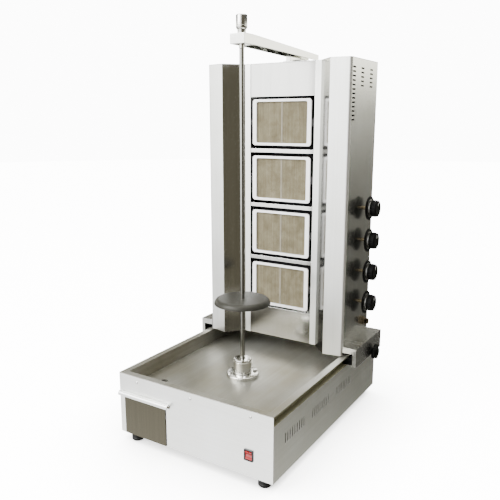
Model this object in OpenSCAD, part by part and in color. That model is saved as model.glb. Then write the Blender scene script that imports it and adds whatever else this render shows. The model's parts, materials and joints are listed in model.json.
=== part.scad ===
// Four-burner gas vertical rotisserie (gyros and doner grill).
// Front is -Y, the operator's right is +X, up is +Z, millimetres.
// The origin is on the ground below the middle of the base.

/* [Base] */
// Width of the base box
base_w = 530; // [520:2:540]
// Depth of the base box, front to back
base_d = 720; // [710:2:740]
// Height of the base box above its feet
base_h = 190; // [186:1:200]
// Height of the rubber feet
foot_h = 28; // [22:1:34]
// Width of the flat rim around the drip tray
rim_w = 20; // [18:1:22]
// Depth of the drip tray below its rim
tray_depth = 48; // [44:1:50]

/* [Drawer] */
// Width of the grease drawer's face
drawer_w = 156; // [140:2:160]
// Height of the grease drawer's face
drawer_h = 121; // [112:1:122]
// Middle of the drawer, sideways from the middle of the base
drawer_x = -167; // [-170:1:-150]

/* [Spit] */
// Distance of the spit in front of the middle of the base
spit_front = 92; // [80:1:100]
// Diameter of the spit rod
rod_d = 14; // [12:1:16]
// Diameter of the meat plate
plate_d = 172; // [120:2:174]
// Height of the meat plate's lower edge above the ground
plate_z = 405; // [380:1:600]

/* [Burner tower] */
// Width of the tower
tower_w = 504; // [500:2:508]
// Height of the tower's top above the ground
tower_top = 1130; // [1120:2:1160]
// Height of one burner's frame
burner_h = 146; // [130:2:148]
// Width of one burner's frame
burner_w = 212; // [200:2:214]
// Distance from one burner to the next
burner_pitch = 180; // [176:1:182]
// Height of the lowest burner's middle above the ground
burner_z = 405; // [395:1:410]

/* [Gas knobs] */
// Diameter of a gas knob's skirt
knob_d = 76; // [68:1:76]
// Height of the lowest knob's middle above the ground
knob_z = 368; // [364:1:390]
// Distance from one knob to the next
knob_pitch = 103.5; // [90:0.5:104]

/* [Top arm] */
// Width of the arm
arm_w = 48; // [44:1:50]
// Height of the arm's front end
arm_h = 28; // [24:1:30]
// Gap between the tower's top and the arm's front end
arm_gap = 28; // [26:1:32]
// How much lower the arm's back end is than its front end
arm_fall = 18; // [10:1:18]

/* [Hidden] */

$fn = 64;
sheet = 2;                       // thickness of every folded sheet
slide_gap = 0.4;                 // gap between parts that slide past each other
run_gap = 0.05;                  // radial gap of a running fit

// Base levels and half sizes
half_w = base_w / 2;
half_d = base_d / 2;
rim_z = foot_h + base_h;
tray_z = rim_z - tray_depth;     // top of the tray's floor
rail_h = 26;                     // height of the side rails
rail_z = rim_z - sheet - rail_h; // underside of the side rails
rail_d = rim_w - sheet;          // depth of the side rails
side_vent = [5, 30];             // width and height of a vent slot in the base
side_vent_z = rail_z - 75;       // bottom of those slots
drain = [-180, -257];            // middle of the drain hole
drain_r = 12.5;

// Drawer
drawer_wall = 1.5;
drawer_len = 300;                // drawer box, front to back
drawer_box_w = drawer_w - 14;
drawer_z = foot_h + 1;           // bottom of the drawer's face
drawer_box_z = foot_h + sheet + 3;
drawer_box_h = drawer_h - 9;
lip_r = 7;                       // outer radius of the rolled handle
lip_w = drawer_w + 30;
lip_z = drawer_z + drawer_h + 7; // middle of the handle's bend

// Switch, right of the front panel
switch_pos = [191, 90];          // sideways and height
switch_hole = [22, 26.6];
switch_rim = 3;
rocker_tilt = 8;                 // half of the rocker's throw, degrees
pivot_r = 2;                     // radius of the rocker's pivot

// Spit drive
spit_y = -spit_front;
shaft_r = 10;
socket_r = 28;
flange_r = 51;
flange_t = 10;
flange_z = tray_z + flange_t;
socket_top = flange_z + 46;
socket_web = flange_z + 12;      // top of the shaft inside the socket
rod_z = socket_web + 7;          // bottom of the rod inside the socket
motor_z = 66;                    // underside of the gearbox
gearbox = [80, 80, 44];
motor_r = 27;
motor_len = 90;
bolt_ring_r = 40;

// Tower, seen from above
panel_y = 140;                   // front of the wings' inner flanges
mouth_y = 85;                    // front edge of the reflector's mouth
mouth_x = 190;                   // half width of the mouth
bed_x = 136.5;                   // half width of the reflector's bed
flange_x = 116;                  // inner edge of the wings' flanges
strip_y = 96;                    // outer edge of the front strips
tower_y = 306;                   // back of the tower
tower_x = tower_w / 2;
corner_r = 8;                    // bend between a front strip and its side panel
strip_slope = (strip_y - mouth_y) / (tower_x - mouth_x);
corner_y = mouth_y + strip_slope * (tower_x - corner_r - mouth_x)
         + corner_r * sqrt(1 + strip_slope * strip_slope);
side_y = corner_y + 2;           // front edge of a side panel

// Carriage, which straddles the base and carries the tower
carriage_x = half_w + 33;
carriage_y = [99, 322];
carriage_z = rim_z + 33;         // top of the carriage
carriage_low = rail_z;           // bottom of its side flanges
wing_z = rim_z + 3;              // bottom of the wings
lock_y = 240;
lock_z = rail_z + 10;

// Burners
burner_zs = [for (i = [3 : -1 : 0]) burner_z + i * burner_pitch];
tile_face = [184, 130];          // ceramic seen inside one frame
burner_deep = 44;                // depth of the box behind the frame
bar_h = 12;                      // height of the bars between the burners
mixer_y = 205;
mixer_r = 15;

// Gas train, inside the right side of the tower
gas_y = 235;
manifold_x = 215;
manifold_r = 11;
knob_zs = [for (i = [3 : -1 : 0]) knob_z + i * knob_pitch];
inlet_pos = [257, 295];          // depth and height of the gas inlet
inlet_r = 10.4;
stem_r = 4;
nose_x = tower_x + 7;            // front of a valve's nose
knob_x = tower_x + 18;           // back of a knob's skirt
back_vents = [for (group = [310, 480, 690, 880], k = [0 : 4]) group + k * 28];

// Top arm and its pin
arm_z = tower_top + arm_gap;     // underside of the arm's front end
arm_y = [-(spit_front + 24), 352];
arm_level = 30 - spit_front;     // back of the arm's solid, level front end
foot_y = [180, 310];             // foot under the arm, which slides in the guide
foot_w = 36;
web_w = 16;
guide_y = [220, 300];
pin_r = 8;
tip_r = 4;                       // reduced top end of the spit rod
pin_low = arm_z - 11;            // bottom of the pin
rod_top = pin_low - 0.5;         // shoulder of the spit rod

// Unit vector square to the step from a to b, on its left.
function left_of(a, b) = let (d = (b - a) / norm(b - a)) [-d[1], d[0]];

// Point i of a path, moved left by t, with mitred bends.
function moved(path, i, t) =
    let (
        last = len(path) - 1,
        n1 = left_of(path[max(i - 1, 0)], path[max(i, 1)]),
        n2 = left_of(path[min(i, last - 1)], path[min(i + 1, last)])
    ) path[i] + t * (n1 + n2) / (1 + n1 * n2);

// Bend at the right front corner of the tower, seen from above.
corner = [for (k = [0 : 6])
    let (a = (atan(strip_slope) - 90) * (1 - k / 6))
    [tower_x - corner_r, corner_y] + corner_r * [cos(a), sin(a)]];

// Upright sheet folded along a path, with its thickness on the path's left.
module folded_sheet(path, low, high) {
    last = len(path) - 1;
    translate([0, 0, low])
        linear_extrude(high - low)
            polygon(concat(path, [for (i = [last : -1 : 0]) moved(path, i, sheet)]));
}

// Box given by its lowest and highest corner.
module block(low, high) {
    translate(low) cube(high - low);
}

// Cylinder along X, Y or Z between two stations on that axis.
module rod_x(r, from, to, y, z) {
    translate([from, y, z]) rotate([0, 90, 0]) cylinder(r = r, h = to - from);
}
module rod_y(r, from, to, x, z) {
    translate([x, from, z]) rotate([-90, 0, 0]) cylinder(r = r, h = to - from);
}
module rod_zz(r, from, to, x, y) {
    translate([x, y, from]) cylinder(r = r, h = to - from);
}

// Side view of [y, z] points, given a width across X.
module across(width, points) {
    translate([-width / 2, 0, 0]) rotate([90, 0, 90]) linear_extrude(width) polygon(points);
}

// Rounded plate in the XZ plane, its middle at [x, z].
module plate_xz(size, r, y1, y2, x, z) {
    translate([x, y2, z]) rotate([90, 0, 0]) linear_extrude(y2 - y1) difference() {
        square(size, center = true);
        for (sx = [-1, 1], sz = [-1, 1])
            translate([sx * (size[0] / 2 - r), sz * (size[1] / 2 - r)])
                difference() {
                    translate([sx > 0 ? 0 : -r, sz > 0 ? 0 : -r]) square(r);
                    circle(r);
                }
    }
}

// ---- Base -------------------------------------------------------------------

module base_front() color("gainsboro") difference() {
    block([-half_w, -half_d, foot_h], [half_w, -half_d + sheet, rim_z - sheet]);
    block([drawer_x - drawer_w / 2 + 4, -half_d - 1, drawer_z + 2],
          [drawer_x + drawer_w / 2 - 4, -half_d + sheet + 1, drawer_z + drawer_h - 3]);
    plate_xz(switch_hole + [5, 5], 2, -half_d - 1, -half_d + sheet + 1,
             switch_pos[0], switch_pos[1]);
    for (x = [-196, 0, 196]) rod_y(2.1, -half_d - 1, -half_d + sheet + 1, x, rim_z - 18);
}

// Side panel on side s (-1 left, 1 right), with three groups of nine vent slots.
module base_side(s) color("gainsboro") difference() {
    block([s > 0 ? half_w - sheet : -half_w, -half_d + sheet, foot_h],
          [s > 0 ? half_w : -half_w + sheet, half_d - sheet, rail_z]);
    for (middle = [-241, -78, 87], k = [-4 : 4])
        translate([s * half_w - 5, middle + k * 13.5 - side_vent[0] / 2, side_vent_z])
            cube([10, side_vent[0], side_vent[1]]);
}
module base_left() base_side(-1);
module base_right() base_side(1);

module base_back() color("gainsboro") difference() {
    block([-half_w, half_d - sheet, foot_h], [half_w, half_d, rim_z - sheet]);
    rod_y(8.2, half_d - sheet - 1, half_d + 1, 150, 80);
}

module base_floor() color("gainsboro")
    block([-half_w + sheet, -half_d + sheet, foot_h],
          [half_w - sheet, half_d - sheet, foot_h + sheet]);

// Channel rail, open to the outside, in which the carriage slides.
module rail(s) color("dimgray") difference() {
    block([s > 0 ? half_w - rail_d : -half_w, -half_d + sheet, rail_z],
          [s > 0 ? half_w : -half_w + rail_d, half_d - sheet, rail_z + rail_h]);
    block([s > 0 ? half_w - rail_d + sheet : -half_w - 1, -half_d, rail_z + sheet],
          [s > 0 ? half_w + 1 : -half_w + rail_d - sheet, half_d, rail_z + rail_h - sheet]);
}
module rail_left() rail(-1);
module rail_right() rail(1);

module drip_tray() color("silver") difference() {
    union() {
        block([-half_w, -half_d, rim_z - sheet], [half_w, half_d, rim_z]);
        block([-half_w + rail_d, -half_d + rail_d, tray_z - sheet],
              [half_w - rail_d, half_d - rail_d, rim_z - sheet]);
        rod_zz(drain_r + 2, tray_z - 14, tray_z - sheet, drain[0], drain[1]);
    }
    block([-half_w + rim_w, -half_d + rim_w, tray_z],
          [half_w - rim_w, half_d - rim_w, rim_z + 1]);
    rod_zz(drain_r, tray_z - 15, tray_z + 1, drain[0], drain[1]);
    rod_zz(30, tray_z - 5, tray_z + 1, 0, spit_y);
    for (a = [45 : 90 : 315])
        translate([bolt_ring_r * cos(a), spit_y + bolt_ring_r * sin(a), tray_z - 5])
            cylinder(r = 4.2, h = 6);
}

// Pair of angles on the floor, which carry and guide the drawer.
module drawer_runners() color("silver") for (s = [-1, 1]) {
    inner = drawer_x + s * (drawer_box_w / 2 - 8);
    outer = drawer_x + s * (drawer_box_w / 2 + 3);
    floor_z = foot_h + sheet;
    union() {
        block([min(inner, outer), -half_d + 12, floor_z],
              [max(inner, outer), -half_d + 12 + drawer_len, drawer_box_z - slide_gap]);
        block([min(outer - s * sheet, outer), -half_d + 12, floor_z],
              [max(outer - s * sheet, outer), -half_d + 12 + drawer_len, floor_z + 26]);
    }
}

module feet() color([0.08, 0.08, 0.08]) for (x = [-225, 225], y = [-333, 333])
    translate([x, y, 0]) rotate_extrude()
        polygon([[0, 0], [16, 0], [18.5, 3], [18.5, foot_h - 4], [15, foot_h], [0, foot_h]]);

module switch_bezel() color([0.1, 0.1, 0.1]) difference() {
    union() {
        plate_xz(switch_hole + [2, 2] * switch_rim, 2, -half_d - 3, -half_d,
                 switch_pos[0], switch_pos[1]);
        plate_xz(switch_hole + [4, 4], 1, -half_d, -half_d + 26,
                 switch_pos[0], switch_pos[1]);
    }
    block([switch_pos[0] - switch_hole[0] / 2, -half_d - 4, switch_pos[1] - switch_hole[1] / 2],
          [switch_pos[0] + switch_hole[0] / 2, -half_d + 24, switch_pos[1] + switch_hole[1] / 2]);
    rod_x(pivot_r + run_gap, switch_pos[0] - 15, switch_pos[0] + 15, -half_d + 7, switch_pos[1]);
}

// Rocker with a hollowed face and a pivot pin, tilted to its off position.
module rocker() color("crimson")
    translate([switch_pos[0], -half_d + 7, switch_pos[1]]) rotate([rocker_tilt, 0, 0]) union() {
        across(switch_hole[0] - 2 * slide_gap,
               [[-10.5, 11], [-8, 5], [-7.2, 0], [-8, -5], [-10.5, -11],
                [-5, -11.4], [4, -5], [4, 5], [-5, 11.4]]);
        rod_x(pivot_r, -switch_hole[0] / 2 - 1.5, switch_hole[0] / 2 + 1.5, 0, 0);
    }

module gear_motor() color("dimgray") difference() {
    union() {
        block([-gearbox[0] / 2, spit_y - gearbox[1] / 2, motor_z],
              [gearbox[0] / 2, spit_y + gearbox[1] / 2, motor_z + gearbox[2]]);
        rod_zz(18, motor_z + gearbox[2], motor_z + gearbox[2] + 8, 0, spit_y);
        rod_y(motor_r, spit_y + gearbox[1] / 2, spit_y + gearbox[1] / 2 + motor_len,
              0, motor_z + motor_r);
        rod_y(9, spit_y + gearbox[1] / 2 + motor_len, spit_y + gearbox[1] / 2 + motor_len + 6,
              0, motor_z + motor_r);
    }
    rod_zz(shaft_r + run_gap, motor_z + 8, motor_z + gearbox[2] + 9, 0, spit_y);
}

// Folded bridge that holds the gear motor above the floor.
module motor_bracket() color("silver") {
    floor_z = foot_h + sheet;
    union() {
        block([-55, spit_y - 50, motor_z - 3], [55, spit_y + 50, motor_z]);
        for (s = [-1, 1]) {
            block([s > 0 ? 52 : -55, spit_y - 50, floor_z],
                  [s > 0 ? 55 : -52, spit_y + 50, motor_z - 3]);
            block([s > 0 ? 55 : -72, spit_y - 50, floor_z],
                  [s > 0 ? 72 : -55, spit_y + 50, floor_z + 3]);
        }
    }
}

module bearing_housing() color("silver") difference() {
    translate([0, spit_y, 0]) rotate_extrude()
        polygon([[0, tray_z - 30], [29, tray_z - 30], [29, tray_z], [flange_r, tray_z],
                 [flange_r, flange_z - 2], [flange_r - 2, flange_z], [0, flange_z]]);
    rod_zz(shaft_r + run_gap, tray_z - 31, flange_z + 1, 0, spit_y);
    for (a = [45 : 90 : 315])
        translate([bolt_ring_r * cos(a), spit_y + bolt_ring_r * sin(a), tray_z - 1])
            cylinder(r = 4.2, h = flange_t + 2);
}

module housing_bolts() color("silver") for (a = [45 : 90 : 315])
    translate([bolt_ring_r * cos(a), spit_y + bolt_ring_r * sin(a), 0]) union() {
        translate([0, 0, flange_z]) cylinder(r = 7.5, h = 5.5, $fn = 6);
        translate([0, 0, tray_z - 12]) cylinder(r = 4, h = flange_t + 12);
    }

module panel_screws() color("gray") for (x = [-196, 0, 196]) union() {
    rod_y(4, -half_d - 2, -half_d, x, rim_z - 18);
    rod_y(2, -half_d, -half_d + 10, x, rim_z - 18);
}

module cable_gland() color([0.1, 0.1, 0.1]) difference() {
    union() {
        rod_y(12, half_d, half_d + 5, 150, 80);
        rod_y(8, half_d - 12, half_d, 150, 80);
        rod_y(9.5, half_d + 5, half_d + 14.4, 150, 80);
    }
    rod_y(4, half_d - 13, half_d + 15, 150, 80);
}

// ---- Spit -------------------------------------------------------------------

module drive_shaft() color("silver")
    rod_zz(shaft_r, motor_z + 10, socket_web, 0, spit_y);

module drive_socket() color("silver") difference() {
    translate([0, spit_y, 0]) rotate_extrude()
        polygon([[0, flange_z + slide_gap], [socket_r, flange_z + slide_gap],
                 [socket_r, socket_top - 1.5], [socket_r - 1.5, socket_top], [0, socket_top]]);
    rod_zz(shaft_r + 0.02, flange_z, socket_web, 0, spit_y);
    rod_zz(rod_d / 2 + 0.02, rod_z, socket_top + 1, 0, spit_y);
}

module spit_rod() color("silver") union() {
    rod_zz(rod_d / 2, rod_z, rod_top, 0, spit_y);
    rod_zz(tip_r, rod_top, rod_top + 20, 0, spit_y);
}

// Set collar with its thumbscrew, which holds the meat plate on the rod.
module plate_collar() color("silver") difference() {
    union() {
        rod_zz(16, plate_z - 16, plate_z + 14, 0, spit_y);
        rod_x(3, 12, 24, spit_y, plate_z - 8);
        rod_x(6, 24, 30, spit_y, plate_z - 8);
    }
    rod_zz(rod_d / 2 + run_gap, plate_z - 17, plate_z + 15, 0, spit_y);
}

// Flat plate with its edge turned down, which slides along the rod with its collar.
module meat_plate() color("silver") translate([0, spit_y, plate_z]) rotate_extrude() {
    r = plate_d / 2;
    polygon([[rod_d / 2 + run_gap, 14], [r - 15, 14], [r - 8.5, 12.6], [r - 4.8, 8.6], [r - 2, 1],
             [r - 2, 0], [r, 0], [r, 1.5], [r - 3, 9.8], [r - 7.4, 14.4], [r - 14.5, 16],
             [rod_d / 2 + run_gap, 16]]);
}

// ---- Grease drawer ------------------------------------------------------------

module drawer_box() color("silver") difference() {
    low = [drawer_x - drawer_box_w / 2, -half_d - slide_gap, drawer_box_z];
    high = [drawer_x + drawer_box_w / 2, -half_d + drawer_len, drawer_box_z + drawer_box_h];
    block(low, high);
    block(low + [1, 1, 1] * drawer_wall, high + [-1, -1, 0] * drawer_wall + [0, 0, 1]);
}

// Overlaid face, whose wider top edge is rolled forward and down into a handle.
module drawer_face() color([0.45, 0.43, 0.33]) union() {
    back_y = -half_d - slide_gap;
    top = drawer_z + drawer_h;
    block([drawer_x - drawer_w / 2, back_y - sheet, drawer_z],
          [drawer_x + drawer_w / 2, back_y, top]);
    block([drawer_x - lip_w / 2, back_y - sheet, top], [drawer_x + lip_w / 2, back_y, lip_z]);
    block([drawer_x - lip_w / 2, back_y - 2 * lip_r, lip_z - 5],
          [drawer_x + lip_w / 2, back_y - 2 * lip_r + sheet, lip_z]);
    translate([drawer_x - lip_w / 2, back_y - lip_r, lip_z])
        rotate([90, 0, 90]) linear_extrude(lip_w) difference() {
            circle(lip_r);
            circle(lip_r - sheet);
            translate([-lip_r - 1, -lip_r - 1]) square([2 * lip_r + 2, lip_r + 1]);
        }
}

// ---- Tower carriage -----------------------------------------------------------

module carriage() color("silver") difference() {
    front = carriage_y[0];
    back = carriage_y[1];
    low = carriage_low;
    union() {
        block([-carriage_x, front, carriage_z - sheet], [carriage_x, back, carriage_z]);
        block([-carriage_x, back - sheet, rim_z + 6], [carriage_x, back, carriage_z - sheet]);
        for (s = [-1, 1]) {
            block([s > 0 ? carriage_x - sheet : -carriage_x, front, low],
                  [s > 0 ? carriage_x : -carriage_x + sheet, back, carriage_z - sheet]);
            block([s > 0 ? carriage_x - 12 : -carriage_x, front, low],
                  [s > 0 ? carriage_x : -carriage_x + 12, front + sheet, carriage_z - sheet]);
            block([s > 0 ? tower_x + 1 : -carriage_x, front, carriage_z - 18],
                  [s > 0 ? carriage_x : -tower_x - 1, front + sheet, carriage_z - sheet]);
        }
    }
    block([-tower_x + 4, front - 1, carriage_z - 30], [tower_x - 4, panel_y + 10, carriage_z + 1]);
    block([-tower_x - 0.5, front - 1, carriage_z - 30], [tower_x + 0.5, side_y + 0.5, carriage_z + 1]);
    for (s = [-1, 1])
        rod_x(stem_r + 0.3, s * carriage_x - 5, s * carriage_x + 5, lock_y, lock_z);
}

// Plastic blocks on the carriage's flanges, which run inside the rails.
module carriage_sliders() color([0.1, 0.1, 0.1]) for (s = [-1, 1], y = [108, 270])
    block([s > 0 ? half_w - rail_d + sheet + slide_gap : -carriage_x + sheet,
           y, rail_z + sheet + slide_gap],
          [s > 0 ? carriage_x - sheet : -half_w + rail_d - sheet - slide_gap,
           y + 40, rail_z + rail_h - sheet - slide_gap]);

// Star knob and screw that lock the carriage on side s.
module lock_knob(s) color([0.08, 0.08, 0.08]) {
    mirror([s > 0 ? 0 : 1, 0, 0]) union() {
        rod_x(stem_r, half_w - rail_d + sheet + 1, carriage_x + 5, lock_y, lock_z);
        rod_x(11, carriage_x + 0.5, carriage_x + 5, lock_y, lock_z);
        rod_x(21, carriage_x + 5, carriage_x + 20, lock_y, lock_z);
        for (a = [0 : 72 : 288])
            rod_x(8, carriage_x + 5, carriage_x + 20, lock_y + 19 * cos(a), lock_z + 19 * sin(a));
        rod_x(13, carriage_x + 20, carriage_x + 23, lock_y, lock_z);
    }
}
module lock_knob_left() lock_knob(-1);
module lock_knob_right() lock_knob(1);

// ---- Tower sheets -------------------------------------------------------------

// Side panel on side s; the right one also has holes for the gas train.
module tower_side(s) color("lightgray") difference() {
    block([s > 0 ? tower_x - sheet : -tower_x, side_y, carriage_z],
          [s > 0 ? tower_x : -tower_x + sheet, tower_y - sheet, tower_top - sheet]);
    for (column = [[118.5, 13], [182, 5], [253, 5]], k = [0 : column[1] - 1])
        translate([s * tower_x - 5, column[0] - 10, tower_top - 30 - k * 12.5])
            union() {
                cube([10, 20, 5]);
                for (end = [0, 20]) translate([0, end, 2.5]) rotate([0, 90, 0])
                    cylinder(r = 2.5, h = 10);
            }
    if (s > 0) {
        for (z = knob_zs) rod_x(6.3, tower_x - 5, tower_x + 5, gas_y, z);
        rod_x(inlet_r + 0.5, tower_x - 5, tower_x + 5, inlet_pos[0], inlet_pos[1]);
    }
}
module tower_left() tower_side(-1);
module tower_right() tower_side(1);

module tower_back() color("lightgray") difference() {
    block([-tower_x, tower_y - sheet, carriage_z], [tower_x, tower_y, tower_top - sheet]);
    for (x = [-110, 110], z = back_vents)
        block([x - 55, tower_y - 5, z], [x + 55, tower_y + 5, z + 6]);
}

module tower_top_cover() color("lightgray")
    translate([0, 0, tower_top - sheet]) linear_extrude(sheet) {
        right = concat([[bed_x, panel_y], [mouth_x, mouth_y]], corner, [[tower_x, tower_y]]);
        last = len(right) - 1;
        polygon(concat([for (i = [last : -1 : 0]) [-right[i][0], right[i][1]]], right));
    }

// Reflector wing: inner flange, slanted reflector, front strip and corner bend in one sheet.
module wing(s) color("whitesmoke") mirror([s > 0 ? 0 : 1, 0, 0])
    folded_sheet(concat([[flange_x, panel_y], [bed_x, panel_y], [mouth_x, mouth_y]], corner,
                        [[tower_x, side_y]]),
                 wing_z, tower_top - sheet);
module wing_left() wing(-1);
module wing_right() wing(1);

// Sheet behind the burners' frames, with one opening for each burner and thin bars between.
module burner_panel() color("whitesmoke") difference() {
    block([-bed_x, panel_y + sheet, wing_z], [bed_x, panel_y + 2 * sheet, tower_top - sheet]);
    for (i = [0 : 3]) {
        above = i == 0 ? burner_h / 2 + 8 : (burner_pitch - bar_h) / 2;
        below = i == 3 ? burner_h / 2 + 8 : (burner_pitch - bar_h) / 2;
        block([-flange_x - 2, panel_y, burner_zs[i] - below],
              [flange_x + 2, panel_y + 3 * sheet, burner_zs[i] + above]);
    }
}

// ---- Burners ------------------------------------------------------------------

// Pressed box with a rounded front frame and ears that hold it to the panel.
module burner_housing(i) color("white") {
    z = burner_zs[i - 1];
    front = panel_y - 2;
    box_y = front + 6;
    difference() {
        union() {
            plate_xz([burner_w, burner_h], 9, front, box_y, 0, z);
            plate_xz(tile_face + [14, 10], 4, box_y, box_y + burner_deep, 0, z);
            for (s = [-1, 1])
                block([s > 0 ? tile_face[0] / 2 + 5 : -bed_x + 4,
                       panel_y + 2 * sheet, z - 12],
                      [s > 0 ? bed_x - 4 : -tile_face[0] / 2 - 5,
                       panel_y + 3 * sheet, z + 12]);
        }
        plate_xz(tile_face, 5, front - 1, box_y, 0, z);
        block([-tile_face[0] / 2 - 3, box_y, z - tile_face[1] / 2 - 2],
              [tile_face[0] / 2 + 3, box_y + burner_deep - sheet, z + tile_face[1] / 2 + 2]);
    }
}

// Two ceramic plates side by side behind one frame.
module burner_tiles(i) color("tan") {
    z = burner_zs[i - 1];
    front = panel_y + 4;
    size = [tile_face[0] / 2 + 2.6, 13, tile_face[1] + 3.6];
    for (s = [-1, 1])
        block([s > 0 ? 0.3 : -size[0], front, z - size[2] / 2],
              [s > 0 ? size[0] : -0.3, front + size[1], z + size[2] / 2]);
}

// Mixing tube behind each burner, open towards its jet.
module mixer_tubes() color("gray") for (z = burner_zs) {
    back = panel_y + 4 + burner_deep;
    difference() {
        union() {
            rod_x(mixer_r, -80, 140, mixer_y, z);
            rod_x(mixer_r + 4, 128, 142, mixer_y, z);
            block([-78, back, z - 13], [-42, mixer_y, z + 13]);
        }
        rod_x(mixer_r - 2, -76, 145, mixer_y, z);
    }
}

// ---- Gas train ----------------------------------------------------------------

module gas_manifold() color("silver") union() {
    rod_zz(manifold_r, inlet_pos[1], knob_zs[0] + 25, manifold_x, gas_y);
    translate([manifold_x, gas_y, inlet_pos[1]]) sphere(manifold_r);
    rod_y(manifold_r, gas_y, inlet_pos[0], manifold_x, inlet_pos[1]);
    translate([manifold_x, inlet_pos[0], inlet_pos[1]]) sphere(manifold_r);
    rod_x(manifold_r, manifold_x, tower_x - 6, inlet_pos[0], inlet_pos[1]);
    for (z = knob_zs) rod_x(8, manifold_x, 228, gas_y, z);
}

module gas_valves() color("goldenrod") for (z = knob_zs) difference() {
    union() {
        block([228, gas_y - 13, z - 15], [246, gas_y + 13, z + 15]);
        rod_x(10, 246, tower_x - sheet, gas_y, z);
        rod_x(6, tower_x - sheet, nose_x, gas_y, z);
    }
    rod_x(stem_r + run_gap, 234, nose_x + 1, gas_y, z);
}

// Small pipes from the valves to the jets of the mixing tubes.
module feed_pipes() color("peru") for (i = [0 : 3]) {
    r = 4;
    y = gas_y + 26 + 12 * (i % 3);
    low = min(knob_zs[i], burner_zs[i]);
    high = max(knob_zs[i], burner_zs[i]);
    union() {
        rod_y(r, gas_y + 13, y, 237, knob_zs[i]);
        rod_zz(r, low, high, 237, y);
        rod_x(r, 165, 237, y, burner_zs[i]);
        rod_y(r, mixer_y, y, 165, burner_zs[i]);
        rod_x(6, 150, 165, mixer_y, burner_zs[i]);
        for (p = [[237, y, knob_zs[i]], [237, y, burner_zs[i]], [165, y, burner_zs[i]],
                  [165, mixer_y, burner_zs[i]]])
            translate(p) sphere(r);
    }
}

module inlet_fitting() color("goldenrod") difference() {
    union() {
        rod_x(inlet_r, tower_x - 6, tower_x + 22, inlet_pos[0], inlet_pos[1]);
        translate([tower_x, inlet_pos[0], inlet_pos[1]]) rotate([0, 90, 0])
            cylinder(r = 16, h = 8, $fn = 6);
    }
    rod_x(6, tower_x - 7, tower_x + 23, inlet_pos[0], inlet_pos[1]);
}

module valve_stem(i) color("goldenrod")
    rod_x(stem_r, 235, knob_x + 19, gas_y, knob_zs[i - 1]);

// Knob with a wide skirt, a neck and a barrel grip with a pointer ridge.
module gas_knob(i) color([0.07, 0.07, 0.07])
    translate([knob_x, gas_y, knob_zs[i - 1]]) rotate([0, 90, 0]) difference() {
        union() {
            rotate_extrude()
                polygon([[0, 0], [knob_d / 2 - 1, 0], [knob_d / 2, 1], [knob_d / 2 - 1, 4],
                         [22, 4.5], [22, 10], [26, 10.5], [27, 18], [26, 27], [23.5, 30], [0, 30]]);
            translate([-24, -2.5, 14]) cube([14, 5, 17]);
        }
        translate([0, 0, -1]) cylinder(r = stem_r + 0.02, h = 20);
    }

// ---- Top arm ------------------------------------------------------------------

// Low guide on the tower's top, slotted for the arm's foot.
module arm_guide() color("silver") difference() {
    top = tower_top + 13;
    block([-foot_w / 2 - 6, guide_y[0], tower_top], [foot_w / 2 + 6, guide_y[1], top]);
    block([-foot_w / 2 - slide_gap, guide_y[0] - 1, tower_top + sheet],
          [foot_w / 2 + slide_gap, guide_y[1] + 1, tower_top + 7 + slide_gap]);
    block([-web_w / 2 - slide_gap, guide_y[0] - 1, tower_top + sheet],
          [web_w / 2 + slide_gap, guide_y[1] + 1, top + 1]);
}

// Height of the arm's upper face at a station y behind its level front end.
function arm_top(y) = arm_z + arm_h - arm_fall * (y - arm_level) / (arm_y[1] - arm_level);

// Channel, open below, with a solid front end for the pin and a foot for the guide.
module top_arm() color("silver") union() {
    difference() {
        across(arm_w, [[arm_y[0], arm_z], [arm_level, arm_z], [arm_y[1], arm_z - arm_fall / 2],
                       [arm_y[1], arm_top(arm_y[1])], [arm_level, arm_z + arm_h],
                       [arm_y[0], arm_z + arm_h]]);
        across(arm_w - 2 * sheet, [[arm_level, arm_z - arm_fall], [arm_y[1] + 1, arm_z - arm_fall],
                                   [arm_y[1] + 1, arm_top(arm_y[1] + 1) - sheet],
                                   [arm_level, arm_z + arm_h - sheet]]);
        rod_zz(pin_r + run_gap, arm_z - 1, arm_z + arm_h + 1, 0, spit_y);
    }
    across(web_w, [[foot_y[0], tower_top + 3], [foot_y[1], tower_top + 3],
                   [foot_y[1], arm_top(foot_y[1]) - 1], [foot_y[0], arm_top(foot_y[0]) - 1]]);
    block([-foot_w / 2, foot_y[0], tower_top + sheet + slide_gap],
          [foot_w / 2, foot_y[1], tower_top + 7]);
}

// Lifting pin: a waisted head above the arm and a hollow end around the rod's tip.
module top_pin() color("silver") difference() {
    translate([0, spit_y, 0]) rotate_extrude()
        polygon([[0, pin_low], [pin_r - 1, pin_low], [pin_r, pin_low + 1], [pin_r, arm_z + arm_h],
                 [12, arm_z + arm_h], [12, arm_z + arm_h + 12], [15, arm_z + arm_h + 14],
                 [16, arm_z + arm_h + 16], [16, arm_z + arm_h + 49], [14.5, arm_z + arm_h + 51],
                 [0, arm_z + arm_h + 51]]);
    rod_zz(tip_r + run_gap, pin_low - 1, rod_top + 22, 0, spit_y);
}

base_front();
base_left();
base_right();
base_back();
base_floor();
rail_left();
rail_right();
drip_tray();
drawer_runners();
feet();
switch_bezel();
gear_motor();
motor_bracket();
bearing_housing();
housing_bolts();
panel_screws();
cable_gland();
drive_shaft();
drive_socket();
spit_rod();
plate_collar();
meat_plate();
drawer_box();
drawer_face();
rocker();
carriage();
carriage_sliders();
tower_left();
tower_right();
tower_back();
tower_top_cover();
wing_left();
wing_right();
burner_panel();
mixer_tubes();
gas_manifold();
gas_valves();
feed_pipes();
inlet_fitting();
arm_guide();
lock_knob_left();
lock_knob_right();
top_arm();
top_pin();
for (i = [1 : 4]) {
    burner_housing(i);
    burner_tiles(i);
    valve_stem(i);
    gas_knob(i);
}
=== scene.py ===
"""Looks for a vertical gas rotisserie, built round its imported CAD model."""

import json
import math

import bmesh
import bpy
from mathutils import Matrix, Vector


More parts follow.
